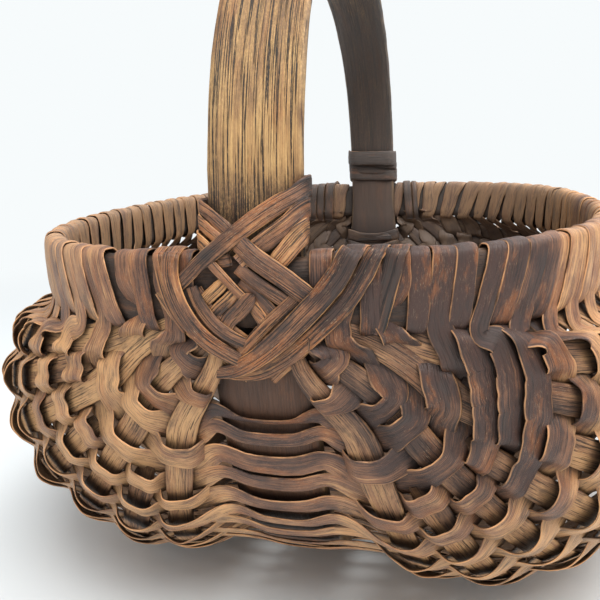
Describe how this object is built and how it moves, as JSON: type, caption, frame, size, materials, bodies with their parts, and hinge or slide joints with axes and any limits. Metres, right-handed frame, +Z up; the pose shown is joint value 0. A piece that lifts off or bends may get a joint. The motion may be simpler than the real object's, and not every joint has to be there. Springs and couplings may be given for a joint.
{
  "type": "buttocks basket",
  "caption": "Hand-woven splint buttocks basket with a band handle, hooped rim, lashed ears and two full lobes of woven splint.",
  "frame": {"origin": "centre of the footprint on the surface the basket stands on", "axes": "+Z up, +Y from the front ear to the back ear, +X across the handle to the right lobe"},
  "size_m": [0.2722, 0.2518, 0.235],
  "materials": {
    "handle_oak": "worn smooth, open dark pores",
    "rim_oak": "matt, aged",
    "rib_oak": "matt, split face with grain",
    "lashing_oak": "worn, dusty",
    "weaver_oak": "aged, slight sheen"
  },
  "bodies": {
    "root": {"handle_hoop": "handle_oak", "rim_hoop": "rim_oak", "rib_left_1": "rib_oak", "rib_left_2": "rib_oak", "rib_left_3": "rib_oak", "rib_left_4": "rib_oak", "rib_left_5": "rib_oak", "rib_left_6": "rib_oak", "rib_left_7": "rib_oak", "rib_right_1": "rib_oak", "rib_right_2": "rib_oak", "rib_right_3": "rib_oak", "rib_right_4": "rib_oak", "rib_right_5": "rib_oak", "rib_right_6": "rib_oak", "rib_right_7": "rib_oak", "lashing_front": "lashing_oak", "lashing_back": "lashing_oak", "weaver_1": "weaver_oak", "weaver_2": "weaver_oak", "weaver_3": "weaver_oak", "weaver_4": "weaver_oak", "weaver_5": "weaver_oak", "weaver_6": "weaver_oak", "weaver_7": "weaver_oak", "weaver_8": "weaver_oak", "weaver_9": "weaver_oak", "weaver_10": "weaver_oak", "weaver_11": "weaver_oak", "weaver_12": "weaver_oak", "weaver_13": "weaver_oak", "weaver_14": "weaver_oak"}
  },
  "joints": []
}
